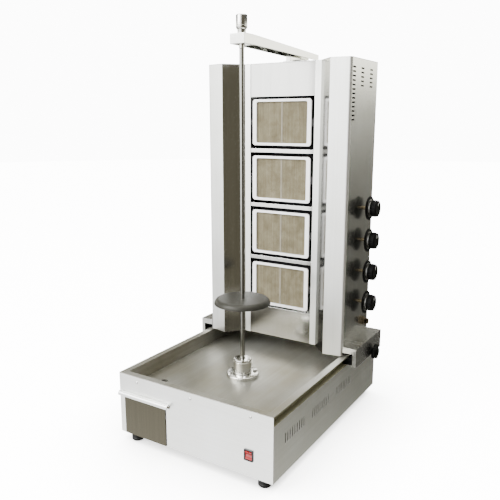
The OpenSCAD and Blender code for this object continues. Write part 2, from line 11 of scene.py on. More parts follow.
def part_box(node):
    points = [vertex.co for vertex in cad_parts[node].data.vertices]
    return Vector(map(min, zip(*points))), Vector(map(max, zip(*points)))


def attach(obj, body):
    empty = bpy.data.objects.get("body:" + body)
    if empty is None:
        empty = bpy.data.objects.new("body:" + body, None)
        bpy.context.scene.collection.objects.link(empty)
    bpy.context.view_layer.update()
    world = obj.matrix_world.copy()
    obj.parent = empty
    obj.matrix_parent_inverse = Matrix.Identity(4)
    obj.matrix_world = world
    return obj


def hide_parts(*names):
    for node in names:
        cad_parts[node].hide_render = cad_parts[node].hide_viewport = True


MM = 0.001
WHITE = (1.0, 1.0, 1.0)
BACKDROP = 12.0  # brightness of the floor and of the background behind the object

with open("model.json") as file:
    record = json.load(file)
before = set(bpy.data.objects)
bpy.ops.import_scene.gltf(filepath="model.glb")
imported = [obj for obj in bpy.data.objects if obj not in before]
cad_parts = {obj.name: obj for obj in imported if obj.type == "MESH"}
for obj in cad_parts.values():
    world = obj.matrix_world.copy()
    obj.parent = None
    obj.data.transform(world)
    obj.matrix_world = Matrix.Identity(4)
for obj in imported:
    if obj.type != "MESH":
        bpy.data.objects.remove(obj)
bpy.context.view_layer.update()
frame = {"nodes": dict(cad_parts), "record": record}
record = frame["record"]
body_of = {n: b for b, members in record["behaviour"]["bodies"].items() for n in members}
hinges = [joint for joint in record["behaviour"]["joints"] if "pos_m" in joint]
pivot_of = {joint["child"]: joint["pos_m"] for joint in hinges}


# ---- Camera -------------------------------------------------------------------

camera_data = bpy.data.cameras.new("camera")
camera_data.lens = 42.69
camera = bpy.data.objects.new("camera", camera_data)
camera.location = (0.9421, -1.5531, 0.9451)
camera.rotation_euler = (math.radians(90 - 12.145), 0, math.radians(32.053))
bpy.context.scene.collection.objects.link(camera)
bpy.context.scene.camera = camera


# ---- Materials ----------------------------------------------------------------


def add_node(tree, kind, inputs=None, **settings):
    """Shader node with its settings made and its inputs linked or set."""
    made = tree.nodes.new("ShaderNode" + kind)
    for key, value in settings.items():
        setattr(made, key, value)
    for key, value in (inputs or {}).items():
        if isinstance(value, bpy.types.NodeSocket):
            tree.links.new(value, made.inputs[key])
        else:
            made.inputs[key].default_value = value
    return made


def add_ramp(tree, value, stops):
    """Colour ramp with (position, colour) stops."""
    made = add_node(tree, "ValToRGB", {"Fac": value})
    elements = made.color_ramp.elements
    while len(elements) < len(stops):
        elements.new(0.5)
    for element, (position, color) in zip(elements, stops):
        element.position = position
        element.color = (*color, 1)
    return made.outputs["Color"]


class Finish:
    """One procedural material, with short names for the nodes that it uses."""

    def __init__(self, name, **sockets):
        self.material = bpy.data.materials.new(name)
        self.material.use_nodes = True
        self.tree = self.material.node_tree
        self.shader = self.tree.nodes["Principled BSDF"]
        for key, value in sockets.items():
            self.shader.inputs[key.replace("_", " ")].default_value = value
        self.place = self.node("TexCoord").outputs["Object"]

    def node(self, kind, inputs=None, **settings):
        return add_node(self.tree, kind, inputs, **settings)

    def noise(self, scale, detail=4.0, roughness=0.55, offset=0.0):
        """Noise whose scale is in features per metre along X, Y and Z."""
        where = {"Vector": self.place, "Scale": scale, "Location": (offset,) * 3}
        placed = self.node("Mapping", where)
        inputs = {"Vector": placed.outputs[0], "Scale": 1.0, "Detail": detail, "Roughness": roughness}
        return self.node("TexNoise", inputs).outputs[0]

    def ramp(self, value, *stops):
        """Colours or grey levels blended between (position, colour or grey level) stops."""
        shades = [(at, shade if isinstance(shade, tuple) else (shade,) * 3) for at, shade in stops]
        return add_ramp(self.tree, value, shades)

    def mix(self, factor, a, b, blend="MIX"):
        made = self.node("Mix", {0: factor, 6: a, 7: b}, data_type="RGBA", blend_type=blend)
        return made.outputs[2]

    def math(self, operation, a, b=0.0):
        return self.node("Math", {0: a, 1: b}, operation=operation).outputs[0]

    def span(self, value, low, high):
        return self.node("MapRange", {"Value": value, "To Min": low, "To Max": high}).outputs[0]

    def brushed(self, grain):
        """Brush lines along one axis: fine scratches over broader bands."""
        fine = self.noise([5 if axis == grain else 900 for axis in "xyz"], 3, 0.6)
        broad = self.noise([1.5 if axis == grain else 110 for axis in "xyz"], 3, 0.6, 3.7)
        return self.math("ADD", self.math("MULTIPLY", fine, 0.5), self.math("MULTIPLY", broad, 0.5))

    def chipped(self, scale, start, stop):
        """1 where an edge has lost its paint, 0 elsewhere."""
        spots = self.ramp(self.noise((scale,) * 3, 3), (start, 0.0), (stop, 1.0))
        return self.math("MULTIPLY", self.edges(0.001), spots)

    def edges(self, radius):
        """1 within about a radius of a sharp edge, 0 elsewhere."""
        rounded = self.node("Bevel", {"Radius": radius}, samples=4).outputs[0]
        flat = self.node("NewGeometry").outputs["Normal"]
        agree = self.node("VectorMath", {0: rounded, 1: flat}, operation="DOT_PRODUCT").outputs["Value"]
        return self.ramp(agree, (0.88, 1.0), (0.99, 0.0))

    def surface(self, color=None, roughness=None, height=None, depth=0.0001, strength=0.5):
        if color is not None:
            self.tree.links.new(color, self.shader.inputs["Base Color"])
        if roughness is not None:
            self.tree.links.new(roughness, self.shader.inputs["Roughness"])
        if height is not None:
            inputs = {"Height": height, "Strength": strength, "Distance": depth}
            bump = self.node("Bump", inputs).outputs[0]
            self.tree.links.new(bump, self.shader.inputs["Normal"])
        return self.material


def steel(name, dark, light, rough, grain, depth=0.00004, smears=0.10, **sockets):
    """Stainless steel brushed along one axis, with faint smears and bright, worn edges."""
    made = Finish(name, **{"Metallic": 1.0, **sockets})
    lines = made.brushed(grain)
    cloud = made.noise((6, 6, 5), 5, 0.6, 1.3)
    color = made.ramp(lines, (0.30, dark), (0.70, light))
    stain = made.ramp(cloud, (0.40, (0.90, 0.89, 0.86)), (0.62, WHITE))
    color = made.mix(smears * 6, color, stain, "MULTIPLY")
    worn = (*[min(1.0, part * 1.12) for part in light], 1)
    color = made.mix(made.edges(0.0012), color, worn)
    roughness = made.math("ADD", made.span(lines, *rough), made.span(cloud, 0.0, smears))
    return made.surface(color, roughness, lines, depth, 0.6)


def reflector_finish(name, *shade_by_height):
    """Bright steel brushed upright, with painted shade that darkens it by height.

    The stops give the painted shade from (height in metres, colour).
    """
    made = Finish(name, Metallic=1.0)
    lines = made.brushed("z")
    color = made.ramp(lines, (0.30, (0.54, 0.54, 0.52)), (0.70, (0.66, 0.66, 0.64)))
    height = made.node("SeparateXYZ", {0: made.place}).outputs["Z"]
    waves = made.span(made.noise((12, 12, 6), 4, 0.6, 2.9), -0.03, 0.03)
    # Painted shade: the steel is multiplied darker by height, with a wavy boundary.
    height_shade = made.ramp(made.math("ADD", height, waves), *shade_by_height)
    color = made.mix(1.0, color, height_shade, "MULTIPLY")
    color = made.mix(made.edges(0.0012), color, (0.80, 0.80, 0.78, 1))
    smears = made.span(made.noise((6, 6, 5), 5, 0.6, 1.3), 0.0, 0.05)
    roughness = made.math("ADD", made.span(lines, 0.09, 0.17), smears)
    return made.surface(color, roughness, lines, 0.00002, 0.6)


def tray_finish():
    """Drip tray steel: brushed, dulled by cleaning, with broad warm patches."""
    made = Finish("tray_steel", Metallic=0.8)
    lines = made.brushed("y")
    color = made.ramp(lines, (0.30, (0.27, 0.265, 0.235)), (0.70, (0.36, 0.355, 0.325)))
    cloud = made.noise((4.2, 2.6, 4), 3, 0.5, 5.2)
    patch = made.ramp(cloud, (0.36, (0.55, 0.50, 0.36)), (0.60, WHITE))
    color = made.mix(0.85, color, patch, "MULTIPLY")
    color = made.mix(made.edges(0.0012), color, (0.62, 0.61, 0.57, 1))
    smears = made.span(made.noise((9, 9, 9), 5, 0.6, 1.3), 0.0, 0.16)
    roughness = made.math("ADD", made.span(lines, 0.28, 0.40), smears)
    return made.surface(color, roughness, lines, 0.00004, 0.6)


def moulded(name, dark, light, rough, grain_scale=1500, depth=0.00003, **sockets):
    """Moulded plastic or rubber: fine grain, faint dust, slightly polished edges."""
    made = Finish(name, **sockets)
    grain = made.noise((grain_scale,) * 3, 2)
    cloud = made.noise((45,) * 3, 5, 0.65, 2.1)
    color = made.ramp(cloud, (0.35, dark), (0.70, light))
    polish = made.math("MULTIPLY", made.edges(0.0012), 0.35)
    color = made.mix(polish, color, (*[part + 0.10 for part in light], 1))
    roughness = made.math("ADD", made.span(grain, *rough), made.span(cloud, -0.05, 0.08))
    return made.surface(color, roughness, grain, depth, 0.5)


def cast_or_painted(name, dark, light, rough, worn, metallic=0.0):
    """Painted or cast metal: orange-peel bump, dust, and edges worn towards bare metal."""
    made = Finish(name, Metallic=metallic)
    peel = made.noise((420,) * 3, 2)
    cloud = made.noise((18,) * 3, 5, 0.6, 4.4)
    color = made.ramp(cloud, (0.35, dark), (0.68, light))
    color = made.mix(made.chipped(160, 0.45, 0.60), color, (*worn, 1))
    roughness = made.math("ADD", made.span(peel, *rough), made.span(cloud, 0.0, 0.10))
    return made.surface(color, roughness, peel, 0.00008, 0.35)


def ceramic():
    """Perforated burner plate: rows of small holes in cream ceramic, scorched in patches."""
    made = Finish("ceramic", Roughness=0.85)
    pitch = 0.0034
    axes = made.node("SeparateXYZ", {0: made.place})
    row = made.math("DIVIDE", axes.outputs["Z"], pitch * 0.866)
    odd = made.math("MULTIPLY", made.math("MODULO", made.math("FLOOR", row), 2.0), 0.5)
    column = made.math("ADD", made.math("DIVIDE", axes.outputs["X"], pitch), odd)
    across = made.math("SUBTRACT", made.math("FRACT", made.math("ADD", column, 100.0)), 0.5)
    along = made.math("SUBTRACT", made.math("FRACT", row), 0.5)
    squares = [made.math("POWER", part, 2.0) for part in (across, along)]
    away = made.math("SQRT", made.math("ADD", *squares))
    hole = made.ramp(away, (0.22, 1.0), (0.34, 0.0))
    scorch = made.noise((38, 38, 38), 6, 0.6)
    body = made.ramp(scorch, (0.30, (0.130, 0.110, 0.063)), (0.52, (0.176, 0.153, 0.095)),
                     (0.75, (0.222, 0.197, 0.128)))
    streak = made.noise((300, 60, 6), 3, 0.6, 6.0)
    streak = made.ramp(streak, (0.38, (0.76, 0.76, 0.68)), (0.62, WHITE))
    body = made.mix(0.8, body, streak, "MULTIPLY")
    # Painted shade: each hole is painted near black.
    color = made.mix(made.math("MULTIPLY", hole, 0.80), body, (0.035, 0.026, 0.015, 1))
    height = made.math("SUBTRACT", made.math("MULTIPLY", made.noise((900,) * 3, 3), 0.2), hole)
    return made.surface(color, made.span(body, 0.95, 0.75), height, 0.0006, 0.7)


def enamel():
    """White enamel with a faint orange peel and a warm tint where it has been hot."""
    made = Finish("enamel", Coat_Weight=0.6, Coat_Roughness=0.08)
    peel = made.noise((260,) * 3, 2)
    heat = made.noise((14,) * 3, 4, 0.6, 8.0)
    color = made.ramp(heat, (0.35, (0.93, 0.93, 0.96)), (0.72, (0.86, 0.84, 0.80)))
    color = made.mix(made.chipped(210, 0.56, 0.64), color, (0.22, 0.20, 0.18, 1))
    return made.surface(color, made.span(peel, 0.22, 0.38), peel, 0.00010, 0.35)


# Sheets, by the direction of their brushing.
sheet_x = steel("steel_along_x", (0.72, 0.73, 0.72), (0.84, 0.85, 0.84), (0.24, 0.40), "x")
sheet_y = steel("steel_along_y", (0.70, 0.71, 0.69), (0.82, 0.83, 0.81), (0.24, 0.40), "y")
sheet_z = steel("steel_along_z", (0.70, 0.71, 0.69), (0.84, 0.85, 0.83), (0.16, 0.28), "z")
strip_steel = steel("strip_steel", (0.72, 0.73, 0.71), (0.84, 0.85, 0.83), (0.22, 0.34), "z", 0.00003)
bend_steel = steel("bend_steel", (0.60, 0.60, 0.59), (0.72, 0.72, 0.71), (0.42, 0.52), "z", 0.00002)
# A darker, warmer copy of the upright steel for the tower's right side: painted shade.
side_steel = steel("side_steel", (0.65, 0.655, 0.625), (0.75, 0.755, 0.725), (0.13, 0.22), "z", 0.00002)
carriage_steel = steel("carriage_steel", (0.50, 0.50, 0.48), (0.62, 0.62, 0.60), (0.16, 0.26), "x")
rail_steel = steel("rail_steel", (0.20, 0.19, 0.12), (0.27, 0.26, 0.17), (0.40, 0.55), "y", Metallic=0.3)
drawer_steel = steel("drawer_steel", (0.048, 0.044, 0.032), (0.068, 0.062, 0.045), (0.16, 0.26), "z")
arm_steel = steel("arm_steel", (0.72, 0.73, 0.70), (0.84, 0.84, 0.81), (0.07, 0.13), "y", 0.00001, 0.04)
tray_steel = tray_finish()
# Painted shade darkens the reflector steel below about 0.37 m.
reflector_steel = reflector_finish("reflector_steel", (0.27, (0.40, 0.39, 0.36)), (0.37, WHITE))
# A darker copy for the right wing's slanted reflector: painted shade over all but its top.
shaded_reflector = reflector_finish(
    "shaded_reflector", (0.27, (0.22, 0.215, 0.195)), (0.37, (0.40, 0.40, 0.385)),
    (0.60, (0.42, 0.42, 0.405)), (0.78, (0.85, 0.85, 0.84)), (0.92, (0.95, 0.95, 0.95)))

# Turned steel pieces.
rod_steel = steel("rod_steel", (0.27, 0.27, 0.25), (0.36, 0.36, 0.34), (0.10, 0.20), "z", 0.00001)
polished = steel("polished_steel", (0.50, 0.50, 0.48), (0.60, 0.60, 0.58), (0.10, 0.20), "z", 0.00001)
turned_steel = steel("turned_steel", (0.70, 0.70, 0.67), (0.82, 0.82, 0.79), (0.12, 0.22), "x")
plate_steel = steel("plate_steel", (0.027, 0.0265, 0.0225), (0.042, 0.041, 0.035), (0.28, 0.40), "x",
                    0.00002, Metallic=0.25, Specular_IOR_Level=0.15)
knob_trim = steel("knob_trim", (0.11, 0.11, 0.105), (0.16, 0.16, 0.155), (0.26, 0.38), "x")

# Cast, drawn and painted metal.
bolt_steel = cast_or_painted("bolt_steel", (0.55, 0.55, 0.54), (0.70, 0.70, 0.69), (0.22, 0.36),
                             (0.8, 0.8, 0.8), 1.0)
pipe_steel = cast_or_painted("pipe_steel", (0.36, 0.36, 0.36), (0.48, 0.48, 0.47), (0.34, 0.5),
                             (0.7, 0.7, 0.7), 0.8)
brass = cast_or_painted("brass", (0.085, 0.070, 0.045), (0.14, 0.115, 0.075), (0.24, 0.38),
                        (0.36, 0.30, 0.20), 1.0)
copper = cast_or_painted("copper", (0.55, 0.30, 0.18), (0.72, 0.42, 0.28), (0.25, 0.4),
                         (0.85, 0.6, 0.45), 1.0)
motor_paint = cast_or_painted("motor_paint", (0.06, 0.06, 0.065), (0.10, 0.10, 0.11), (0.4, 0.55),
                              (0.4, 0.4, 0.4))
# Near-black steel that stands for shade: painted shade on the burner boxes behind the frames and on the sheet
# inside the tower.
dark_shade_steel = cast_or_painted("dark_shade_steel", (0.020, 0.018, 0.020), (0.034, 0.031, 0.033), (0.5, 0.7),
                            (0.10, 0.09, 0.09), 0.6)

# Plastics, rubber, fibre, ceramic and enamel.
black_plastic = moulded("black_plastic", (0.0015, 0.0015, 0.0014), (0.004, 0.004, 0.004), (0.30, 0.45),
                        Specular_IOR_Level=0.05)
rubber = moulded("rubber", (0.004, 0.004, 0.004), (0.010, 0.010, 0.0095), (0.50, 0.70), 900, 0.00006,
                 Specular_IOR_Level=0.2)
black_gloss = moulded("black_gloss", (0.003, 0.003, 0.003), (0.008, 0.008, 0.009), (0.12, 0.22),
                      Specular_IOR_Level=0.3)
red_gloss = moulded("red_gloss", (0.24, 0.004, 0.006), (0.32, 0.010, 0.012), (0.12, 0.22), Coat_Weight=0.3)
white_mark = moulded("white_mark", (0.80, 0.80, 0.78), (0.90, 0.90, 0.88), (0.4, 0.5))
seam_fibre = moulded("seam_fibre", (0.17, 0.152, 0.112), (0.22, 0.20, 0.155), (0.80, 0.95), 420, 0.0002)
tile_ceramic = ceramic()
white_enamel = enamel()


# ---- Pieces -------------------------------------------------------------------


def add_piece(name, mesh_data, finish, node, replaces=True, sharp=38):
    """Puts a mesh in the scene, riding on a CAD node's body, with the given finishes."""
    mesh = bpy.data.meshes.new(name)
    mesh_data.to_mesh(mesh)
    mesh_data.free()
    for face in mesh.polygons:
        face.use_smooth = True
    mesh.set_sharp_from_angle(angle=math.radians(sharp))
    for material in finish if isinstance(finish, list) else [finish]:
        mesh.materials.append(material)
    piece = bpy.data.objects.new(name, mesh)
    bpy.context.scene.collection.objects.link(piece)
    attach(piece, body_of[node])
    if replaces:
        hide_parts(node)
    return piece


def refined(node, finish, width=0.6, segments=2, pick=None):
    """The CAD node's own shape with its sharp edges rounded, width in millimetres.

    With a list of finishes, pick(centre of a face) says which of them a face takes.
    """
    shape = bmesh.new()
    shape.from_mesh(frame["nodes"][node].data)
    bmesh.ops.remove_doubles(shape, verts=shape.verts, dist=2e-6)
    bmesh.ops.dissolve_limit(shape, angle_limit=math.radians(0.5), verts=shape.verts, edges=shape.edges)
    joined = [edge for edge in shape.edges if len(edge.link_faces) == 2]
    sharp = [edge for edge in joined if edge.calc_face_angle(0) > math.radians(32)]
    bmesh.ops.bevel(shape, geom=sharp, offset=width * MM, segments=segments, profile=0.5, affect="EDGES",
                    clamp_overlap=True)
    if pick:
        for face in shape.faces:
            face.material_index = pick(face.calc_center_median())
    piece = add_piece(node + "_finish", shape, finish, node, sharp=50)
    weighted = piece.modifiers.new("normals", "WEIGHTED_NORMAL")
    weighted.keep_sharp = True
    return piece


TURNS = {
    "z": Matrix(),
    "x": Matrix.Rotation(math.radians(90), 4, "Y"),
    "-x": Matrix.Rotation(math.radians(-90), 4, "Y"),
    "-y": Matrix.Rotation(math.radians(90), 4, "X"),
}


def turned(profile, centre, axis="z", segments=72, form=None):
    """Mesh turned from (height, radius) points in millimetres; form(angle, height) scales a radius."""
    shape = bmesh.new()
    rings = []
    for height, radius in profile:
        if radius == 0:
            rings.append([shape.verts.new((0, 0, height))])
            continue
        ring = []
        for k in range(segments):
            angle = 2 * math.pi * k / segments
            r = radius * (form(angle, height) if form else 1)
            ring.append(shape.verts.new((r * math.cos(angle), r * math.sin(angle), height)))
        rings.append(ring)
    closed = len(rings[0]) > 1 and len(rings[-1]) > 1
    pairs = list(zip(rings, rings[1:])) + ([(rings[-1], rings[0])] if closed else [])
    for low, high in pairs:
        for k in range(segments):
            j = (k + 1) % segments
            corners = [low[k % len(low)], low[j % len(low)], high[j % len(high)], high[k % len(high)]]
            shape.faces.new(list(dict.fromkeys(corners)))
    shape.transform(Matrix.Translation(centre) @ TURNS[axis] @ Matrix.Scale(MM, 4))
    bmesh.ops.recalc_face_normals(shape, faces=shape.faces)
    return shape


def rounded_corner(height, radius, r, start, stop, steps=4):
    """Points of an arc of radius r about (height, radius), its angles in degrees from the axis."""
    points = []
    for k in range(steps + 1):
        angle = math.radians(start + (stop - start) * k / steps)
        points.append((height + r * math.cos(angle), radius + r * math.sin(angle)))
    return points


def bar(size, centre, edge):
    """Small bar with rounded edges, in metres."""
    shape = bmesh.new()
    bmesh.ops.create_cube(shape, size=1)
    bmesh.ops.scale(shape, vec=size, verts=shape.verts)
    bmesh.ops.translate(shape, vec=centre, verts=shape.verts)
    bmesh.ops.bevel(shape, geom=shape.edges[:], offset=edge, segments=2, affect="EDGES")
    return shape


# Sheet metal and other shapes that the CAD model already has right.
for node, finish, width in [
    ("base_front", sheet_x, 0.7), ("base_left", sheet_y, 0.5), ("base_right", sheet_y, 0.5),
    ("base_back", sheet_x, 0.7), ("base_floor", sheet_x, 0.4), ("drip_tray", tray_steel, 0.8),
    ("rail_left", rail_steel, 0.4), ("rail_right", rail_steel, 0.4), ("drawer_runners", sheet_y, 0.4),
    ("drawer_box", sheet_y, 0.4), ("motor_bracket", sheet_x, 0.5), ("gear_motor", motor_paint, 1.5),
    ("housing_bolts", bolt_steel, 0.5), ("cable_gland", black_plastic, 0.6),
    ("switch_bezel", black_gloss, 0.5), ("carriage", carriage_steel, 0.6),
    ("carriage_sliders", black_plastic, 0.8), ("tower_left", sheet_z, 0.25),
    ("tower_right", side_steel, 0.25), ("tower_back", sheet_z, 0.5), ("tower_top_cover", sheet_x, 0.6),
    ("burner_panel", reflector_steel, 0.5), ("arm_guide", sheet_y, 0.7), ("top_arm", arm_steel, 1.2),
    ("gas_manifold", pipe_steel, 0.5), ("mixer_tubes", pipe_steel, 0.5), ("gas_valves", brass, 0.5),
    ("feed_pipes", copper, 0.3),
]:
    refined(node, finish, width)


SLANT = (0.1385, 0.188)  # metres from the middle to the slanted reflector's two folds
BEND = 0.2445  # metres from the middle to the start of the corner bend


def wing_area(centre):
    """0 for the flange and the front strip, 1 for the slanted reflector, 2 for the corner bend."""
    if abs(centre.x) > BEND:
        return 2
    return int(SLANT[0] < abs(centre.x) < SLANT[1])


refined("wing_left", [strip_steel, reflector_steel, bend_steel], 0.25, 2, wing_area)
# The right wing's slanted reflector takes the darker copy: painted shade.
refined("wing_right", [strip_steel, shaded_reflector, bend_steel], 0.25, 2, wing_area)

# Burners: an enamelled frame in front of a gas box painted near black as shade, and a pair of ceramic plates.
for i in range(1, 5):
    housing = f"burner_housing_{i}"
    low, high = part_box(housing)
    frame_back = low.y + 5.5 * MM
    # The burner box behind each frame is near black: painted shade in the gaps round the frame.
    refined(housing, [white_enamel, dark_shade_steel], 1.4, 3, lambda centre: int(centre.y > frame_back))
    refined(f"burner_tiles_{i}", tile_ceramic, 0.4)
refined("rocker", red_gloss, 0.9, 3)

low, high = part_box("drawer_face")
lip_low = high.z - 14.5 * MM
refined("drawer_face", [drawer_steel, sheet_x], 0.5, 2, lambda centre: int(centre.z > lip_low))

# Spit parts, turned about its axis.
low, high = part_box("spit_rod")
axis = Vector(((low.x + high.x) / 2, (low.y + high.y) / 2, 0))
bottom, top = low.z / MM, high.z / MM
rod = [(bottom, 0), (bottom, 7), (top - 21, 7), (top - 20, 6), (top - 20, 4), (top - 1, 4), (top, 3),
       (top, 0)]
add_piece("spit_rod_turned", turned(rod, axis), rod_steel, "spit_rod")

low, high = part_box("meat_plate")
z, r = low.z / MM, (high.x - low.x) / 2 / MM
under = [(z + 14, 7.2), (z + 14, r - 15), (z + 13.6, r - 11.5), (z + 12.6, r - 8.5), (z + 10.9, r - 6.4),
         (z + 8.6, r - 4.8), (z + 5, r - 3.2), (z + 1, r - 2.1)]
rim = [(z + 0.2, r - 1.8), (z, r - 1.2), (z + 0.2, r - 0.3), (z + 1, r)]
over = [(z + 5.4, r - 1.2), (z + 9.2, r - 2.8), (z + 12, r - 4.6), (z + 14.2, r - 7.4),
        (z + 15.5, r - 11), (z + 16, r - 15), (z + 16, 7.2)]
plate = under + rim + over
add_piece("meat_plate_turned", turned(plate, axis, segments=96), plate_steel, "meat_plate", sharp=50)

low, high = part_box("drive_socket")
z, top = low.z / MM, high.z / MM
socket = [(z, 0), (z, 10), (z, 27.2), (z + 0.8, 28), (top - 8, 28), (top - 7.4, 27.4), (top - 6.6, 27.4),
          (top - 6, 28), (top - 2, 28), (top - 0.6, 27.4), (top, 26), (top, 9.5), (top - 1.5, 7.6),
          (top - 12, 7.5), (top - 12, 0)]
add_piece("drive_socket_turned", turned(socket, axis, segments=96), turned_steel, "drive_socket")

low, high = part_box("bearing_housing")
z, top = low.z / MM, high.z / MM
housing = [(z, 12), (z, 28), (z + 1, 29), (top - 10, 29), (top - 10, 50.2), (top - 9.2, 51), (top - 3, 51),
           (top - 1, 50), (top, 48), (top, 30.4), (top - 0.8, 29.6), (top - 0.8, 12)]
add_piece("bearing_housing_turned", turned(housing, axis, segments=96), turned_steel, "bearing_housing")
refined("plate_collar", turned_steel, 0.7)
refined("drive_shaft", polished, 0.5)

low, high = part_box("top_pin")
z, top = low.z / MM, high.z / MM
bore = [(z + 20, 0), (z + 20, 4.1), (z, 4.1)]
stem = [(z, 7), (z + 1, 8), (top - 51, 8), (top - 51, 11.4), (top - 50.4, 12), (top - 40.5, 12)]
head = [(top - 39, 12.4), (top - 37.6, 14.4), (top - 36.4, 15.4), (top - 35, 16), (top - 30, 16),
        (top - 29.5, 15.6), (top - 28.9, 15.6), (top - 28.4, 16), (top - 3, 16), (top - 1.2, 15.4),
        (top - 0.3, 14.2), (top, 12.6), (top, 0)]
add_piece("top_pin_turned", turned(bore + stem + head, axis), polished, "top_pin")

# Feet, with a moulded ring and a recess for their screw.
low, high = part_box("feet")
tall = (high.z - low.z) / MM
r = 18.5
foot = [(5, 0), (5, 5.5), (0.6, 6.2), (0, 7), (0, 15), (0.5, 16.6), (3, r), (9, r), (9.6, r - 0.6),
        (10.4, r - 0.6), (11, r), (tall - 4, r), (tall - 2.4, 17.2), (tall, 15), (tall, 0)]
places = [(x, y, 0) for x in (low.x + r * MM, high.x - r * MM) for y in (low.y + r * MM, high.y - r * MM)]
for k, place in enumerate(places):
    add_piece(f"foot_{k + 1}", turned(foot, place, segments=48), rubber, "feet", replaces=k == 0)

# Gas knobs: skirt, satin trim ring, fluted barrel grip and a white index line.


def flutes(angle, height):
    depth = 0.03 if 13 < height < 26 else 0.0
    return 1 - depth * max(0.0, math.cos(12 * angle)) ** 2


for i in range(1, 5):
    node = f"gas_knob_{i}"
    low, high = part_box(node)
    centre = Vector((low.x, (low.y + high.y) / 2, (low.z + high.z) / 2))
    r = (high.z - low.z) / 2 / MM
    skirt = [(0, 0), (0, r - 1.6), (0.5, r - 0.5), (1.2, r), (2.6, r), (3.4, r - 0.7), (3.9, r - 2.2),
             (4.2, 33), (4.2, 0)]
    ring = [(3.8, 20.0), (3.8, 29.0), (4.5, 28.6), (5.0, 27.2), (5.4, 22.4), (10.4, 22.0), (10.4, 20.0)]
    side = [(10, 0), (10, 24.6), (10.5, 25.6), (11.5, 26.2), (14, 26.8), (18, 27.0), (22, 26.8), (25, 26.2)]
    grip = side + rounded_corner(26.6, 22.6, 3.3, 75, 8, 5) + [(30.0, 18), (29.5, 13), (29.5, 0)]
    line = bar(Vector((0.8, 1.6, 12)) * MM, centre + Vector((29.9, 0, 14)) * MM, 0.3 * MM)
    add_piece(f"knob_{i}_skirt", turned(skirt, centre, "x", 96), black_plastic, node)
    add_piece(f"knob_{i}_ring", turned(ring, centre, "x", 96), knob_trim, node, replaces=False)
    add_piece(f"knob_{i}_grip", turned(grip, centre, "x", 144, flutes), black_plastic, node, replaces=False)
    add_piece(f"knob_{i}_line", line, white_mark, node, replaces=False)
    refined(f"valve_stem_{i}", brass, 0.4)

# Lock knobs: five soft lobes on a steel screw.
for node, axis_name in (("lock_knob_left", "-x"), ("lock_knob_right", "x")):
    low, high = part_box(node)
    inner = low.x if axis_name == "x" else high.x
    reach = (high.x - low.x) / MM
    centre = Vector((inner, *pivot_of[body_of[node]][1:]))
    screw = [(0, 0), (0, 3.2), (1, 4), (reach - 21, 4), (reach - 21, 0)]
    star = [(reach - 23, 0), (reach - 22.6, 10.4), (reach - 18.6, 11), (reach - 18, 18), (reach - 16.6, 21.6),
            (reach - 14, 23.2), (reach - 7, 23.2), (reach - 4.4, 21.4), (reach - 3, 17.5), (reach - 2.4, 13),
            (reach - 0.4, 11.8), (reach, 10), (reach, 0)]

    def lobes(angle, height):
        depth = 0.12 if reach - 18.2 < height < reach - 2.8 else 0
        return 1 + depth * math.cos(5 * (angle - math.pi / 2))

    add_piece(node + "_star", turned(star, centre, axis_name, 120, lobes), black_plastic, node, sharp=50)
    add_piece(node + "_screw", turned(screw, centre, axis_name, 32), bolt_steel, node, replaces=False)

# Gas inlet: hexagon, thread and open end.
low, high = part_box("inlet_fitting")
centre = Vector((low.x, (low.y + high.y) / 2, (low.z + high.z) / 2))
thread = [(16 + k * 0.8 + d, 10.4 - e) for k in range(13) for d, e in ((0, 0.7), (0.4, 0))]
inlet = [(0, 6), (0, 10.4), (15, 10.4)] + thread + [(27.2, 9.7), (28, 8.8), (28, 6.4), (27.4, 6)]
add_piece("inlet_thread", turned(inlet, centre, "x", 64), brass, "inlet_fitting")
nut = [(6, 10.2), (6, 15.2), (6.8, 16), (13.0, 16), (14, 15.0), (14, 10.2)]
add_piece("inlet_nut", turned(nut, centre, "x", 6), brass, "inlet_fitting", replaces=False, sharp=20)

# Screw heads along the front panel.
low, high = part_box("panel_screws")
head = [(0, 0), (0, 4), (0.5, 4), (1.2, 3.3), (1.7, 2.2), (1.9, 1.2), (1.3, 0.9), (1.2, 0)]
for k, x in enumerate((low.x + 4 * MM, (low.x + high.x) / 2, high.x - 4 * MM)):
    shape = turned(head, (x, low.y + 2 * MM, (low.z + high.z) / 2), "-y", 40)
    add_piece(f"panel_screw_{k + 1}", shape, bolt_steel, "panel_screws", replaces=k == 0)

# Fibre strip in the seam between a burner's two ceramic plates.
for i in range(1, 5):
    tiles = f"burner_tiles_{i}"
    low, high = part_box(tiles)
    size = (6 * MM, 1.2 * MM, high.z - low.z - 6 * MM)
    seam = bar(size, (0, low.y - 0.3 * MM, (low.z + high.z) / 2), 0.4 * MM)
    add_piece(f"tile_seam_{i}", seam, seam_fibre, tiles, replaces=False)

# A near-black sheet inside the tower: painted shade, which also keeps daylight from showing through the
# back's vents.
low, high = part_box("tower_back")
sheet = 1.5 * MM
half, front, back = high.x - 62 * MM, low.y - 12 * MM, low.y - 5 * MM
outline = [(-half, back), (-half, front), (half, front), (half, back), (half - sheet, back),
           (half - sheet, front + sheet), (sheet - half, front + sheet), (sheet - half, back)]
shield = bmesh.new()
levels = (low.z + 79 * MM, high.z - 48 * MM)
lower, upper = [[shield.verts.new((x, y, z)) for x, y in outline] for z in levels]
for k, (a, b) in enumerate(zip(lower, upper)):
    shield.faces.new((a, lower[k - 1], upper[k - 1], b))
shield.faces.new(lower)
shield.faces.new(upper)
bmesh.ops.recalc_face_normals(shield, faces=shield.faces)
bmesh.ops.bevel(shield, geom=shield.edges[:], offset=0.3 * MM, segments=1, profile=0.5, affect="EDGES")
add_piece("shade_sheet", shield, dark_shade_steel, "tower_back", replaces=False)


# ---- Floor and light ------------------------------------------------------------

